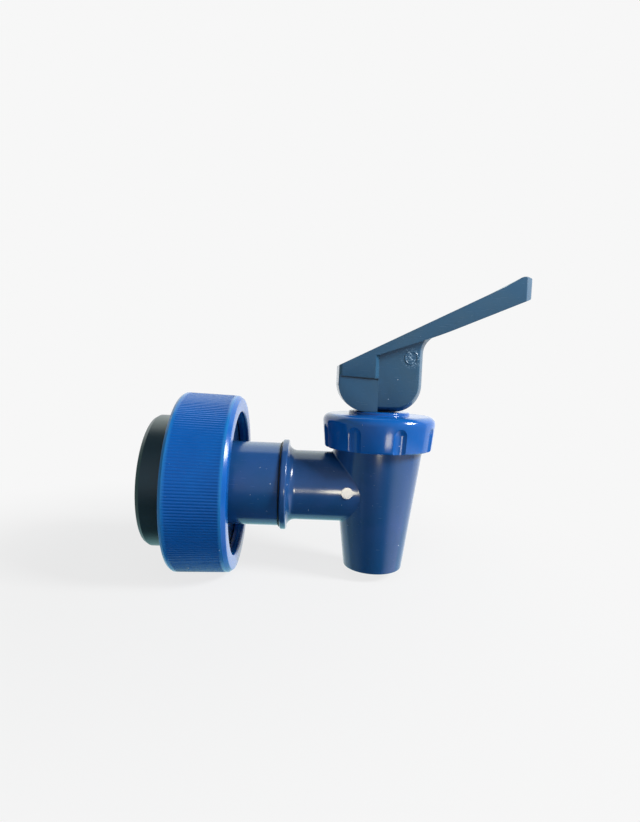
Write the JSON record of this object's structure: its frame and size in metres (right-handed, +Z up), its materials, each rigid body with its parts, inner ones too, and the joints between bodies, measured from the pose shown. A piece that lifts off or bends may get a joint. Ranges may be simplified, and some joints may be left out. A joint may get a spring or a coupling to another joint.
{
  "type": "water filter spigot",
  "caption": "Self-closing lever tap with a tapered spout, a loose ribbed coupling nut and a rubber plug for the neck of a drinking-water filter vessel.",
  "frame": {"origin": "on the shank's axis, in the plane where the rubber plug's brim seals on the rim of the vessel's neck", "axes": "+X along the shank, out of the vessel and towards the spout; +Z up along the barrel, from the spout's mouth to the lever"},
  "size_m": [0.1094, 0.0536, 0.0909],
  "materials": {
    "body_plastic": "smooth moulded navy plastic",
    "bonnet_plastic": "glossy moulded deep blue plastic",
    "lever_plastic": "satin moulded slate blue plastic",
    "nut_plastic": "ribbed bright blue plastic",
    "rubber": "smooth black rubber",
    "silicone": "milky silicone",
    "acetal": "natural white plastic",
    "steel": "stainless steel"
  },
  "bodies": {
    "tap": {"faucet_body": "body_plastic", "bonnet": "bonnet_plastic", "flanged_sleeve": "body_plastic", "shank_gasket": "rubber", "neck_plug": "rubber", "return_spring": "steel", "seat_cup": "silicone"},
    "nut": {"coupling_nut": "nut_plastic"},
    "lifter": {"spring_washer": "steel"},
    "stem": {"valve_stem": "acetal"},
    "handle": {"lever": "lever_plastic", "lever_pin": "steel"}
  },
  "joints": [
    {"name": "nut_spin", "type": "hinge", "parent": "tap", "child": "nut", "pos_m": [0, 0, 0], "axis": [1, 0, 0], "continuous": true},
    {"name": "stem_lift", "type": "slide", "parent": "tap", "child": "lifter", "axis": [0, 0, 1], "range_m": [0, 0.00188], "stiffness_N_per_m": 900, "springref_m": -0.002, "deforming": ["return_spring", "seat_cup"]},
    {"name": "stem_swivel", "type": "hinge", "parent": "lifter", "child": "stem", "pos_m": [0.0504, 0, 0.02345], "axis": [0, 0, 1], "continuous": true},
    {"name": "lever_tilt", "type": "hinge", "parent": "stem", "child": "handle", "pos_m": [0.0504, 0, 0.03295], "axis": [0, 1, 0], "range_deg": [0, 30]}
  ],
  "couplings": [
    {"joint": "lever_tilt", "follows": "stem_lift", "rad_per_m": 277.7}
  ]
}
